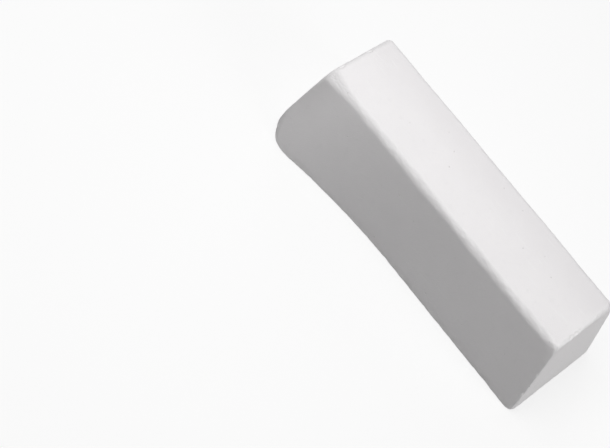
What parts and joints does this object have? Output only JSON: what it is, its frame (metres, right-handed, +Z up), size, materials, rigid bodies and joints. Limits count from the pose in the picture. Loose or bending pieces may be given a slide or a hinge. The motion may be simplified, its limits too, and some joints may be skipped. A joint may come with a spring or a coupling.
{
  "type": "buffing compound bar",
  "caption": "Long block of white abrasive wax for loading a polishing wheel, cast with drafted sides, a narrower rounded crown and a wide flat foot that bellies out on one side near one end.",
  "frame": {"origin": "under the middle of the whole bar, in the plane of the pour face that the bar lies on", "axes": "+X along the bar, away from the end where its foot bellies out, +Y across it, away from the belly, +Z up from the pour face to the narrower crown face"},
  "size_m": [0.1198, 0.0435, 0.0337],
  "materials": {
    "compound": "matte"
  },
  "bodies": {
    "root": {"compound_bar": "compound"}
  },
  "joints": []
}
